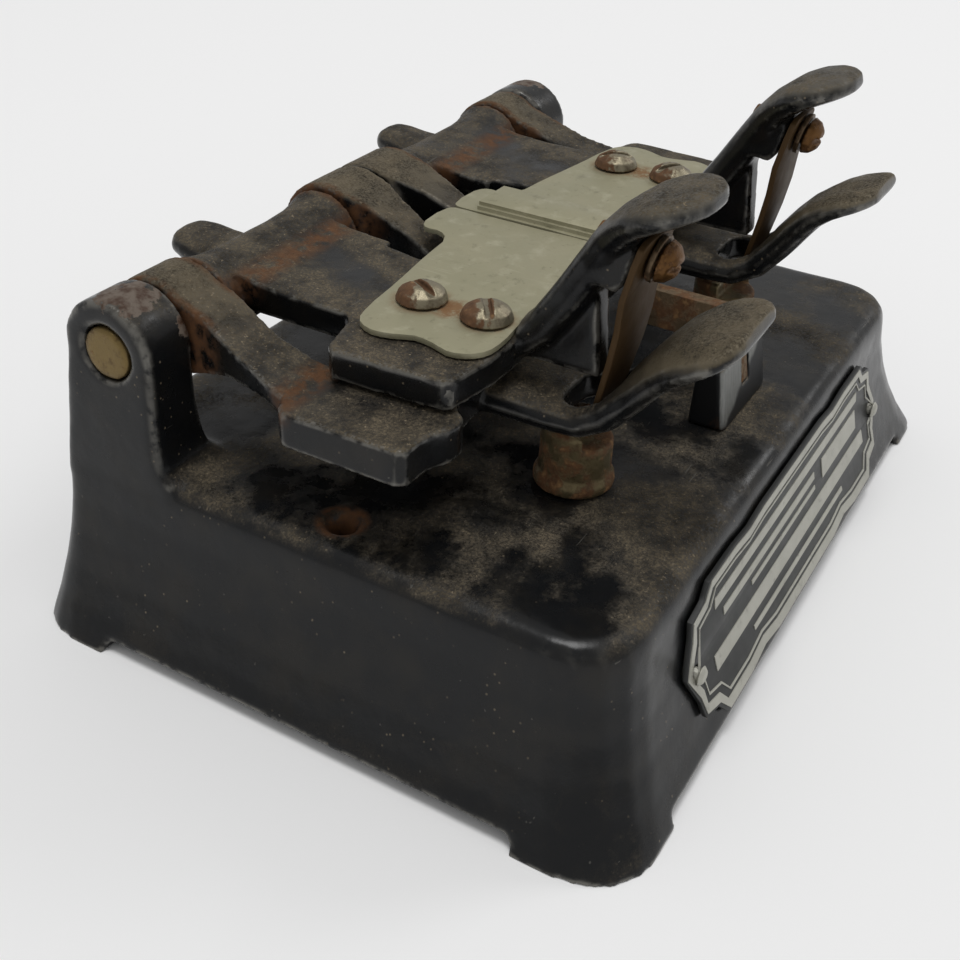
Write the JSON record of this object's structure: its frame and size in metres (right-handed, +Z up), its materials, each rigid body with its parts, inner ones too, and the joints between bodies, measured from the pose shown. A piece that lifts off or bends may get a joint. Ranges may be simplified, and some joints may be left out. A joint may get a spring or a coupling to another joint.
{
  "type": "hand film splicer",
  "caption": "Cast-iron hand film splicer: flared base box, two pairs of hinged arms with steel film plates, spring latches and thumb paddles.",
  "frame": {"origin": "centre of the base's footprint, on the surface that the feet stand on", "axes": "+X along the hinge rod to the operator's right, +Y to the hinge side at the back, +Z up"},
  "size_m": [0.1446, 0.1033, 0.0763],
  "materials": {
    "black_enamel": "worn gloss black enamel over cast iron, dusty brown on top faces",
    "tarnished_steel": "cream tarnished steel sheet",
    "rusty_nickel": "dull nickel plate with brown rust",
    "brown_spring_steel": "brown oxidised spring steel",
    "rusted_steel": "rusted bare steel",
    "bronzed_steel": "dull brown-yellow rod end",
    "etched_nameplate": "etched plate, bright border on dark grey field"
  },
  "bodies": {
    "base": {"base_casting": "black_enamel", "hinge_rod": "bronzed_steel", "left_rest_post": "rusty_nickel", "right_rest_post": "rusty_nickel", "centre_block": "black_enamel", "centre_block_screw": "rusted_steel", "centre_guide_plate": "rusted_steel", "nameplate": "etched_nameplate", "nameplate_pin_left": "etched_nameplate", "nameplate_pin_right": "etched_nameplate"},
    "lower_left": {"lower_left_arm": "black_enamel", "left_film_track": "tarnished_steel", "left_track_screw_outer": "tarnished_steel", "left_track_screw_inner": "tarnished_steel", "left_register_pin_rear": "tarnished_steel", "left_register_pin_front": "tarnished_steel"},
    "upper_left": {"upper_left_arm": "black_enamel", "left_pressure_plate": "tarnished_steel", "left_plate_screw_rear": "rusty_nickel", "left_plate_screw_front": "rusty_nickel", "left_latch_washer": "rusted_steel", "left_latch_screw": "rusted_steel"},
    "latch_left": {"left_latch_spring": "brown_spring_steel"},
    "lower_right": {"lower_right_arm": "black_enamel", "right_film_track": "tarnished_steel", "right_track_screw_outer": "tarnished_steel", "right_track_screw_inner": "tarnished_steel", "right_register_pin_rear": "tarnished_steel", "right_register_pin_front": "tarnished_steel"},
    "upper_right": {"upper_right_arm": "black_enamel", "right_pressure_plate": "tarnished_steel", "right_plate_screw_rear": "rusty_nickel", "right_plate_screw_front": "rusty_nickel", "right_latch_washer": "rusted_steel", "right_latch_screw": "rusted_steel"},
    "latch_right": {"right_latch_spring": "brown_spring_steel"}
  },
  "joints": [
    {"name": "lower_left_lift", "type": "hinge", "parent": "base", "child": "lower_left", "pos_m": [-0.029, 0.0362, 0.047], "axis": [-1, 0, 0], "range_deg": [0, 95]},
    {"name": "upper_left_open", "type": "hinge", "parent": "lower_left", "child": "upper_left", "pos_m": [-0.029, 0.0362, 0.047], "axis": [-1, 0, 0], "range_deg": [0, 95]},
    {"name": "latch_left_flex", "type": "hinge", "parent": "upper_left", "child": "latch_left", "pos_m": [-0.029, -0.0284, 0.0661], "axis": [-1, 0, 0], "range_deg": [-2.5, 2.5], "stiffness_Nm_per_rad": 1.5},
    {"name": "lower_right_lift", "type": "hinge", "parent": "base", "child": "lower_right", "pos_m": [0.029, 0.0362, 0.047], "axis": [-1, 0, 0], "range_deg": [0, 95]},
    {"name": "upper_right_open", "type": "hinge", "parent": "lower_right", "child": "upper_right", "pos_m": [0.029, 0.0362, 0.047], "axis": [-1, 0, 0], "range_deg": [0, 95]},
    {"name": "latch_right_flex", "type": "hinge", "parent": "upper_right", "child": "latch_right", "pos_m": [0.029, -0.0284, 0.0661], "axis": [-1, 0, 0], "range_deg": [-2.5, 2.5], "stiffness_Nm_per_rad": 1.5}
  ]
}
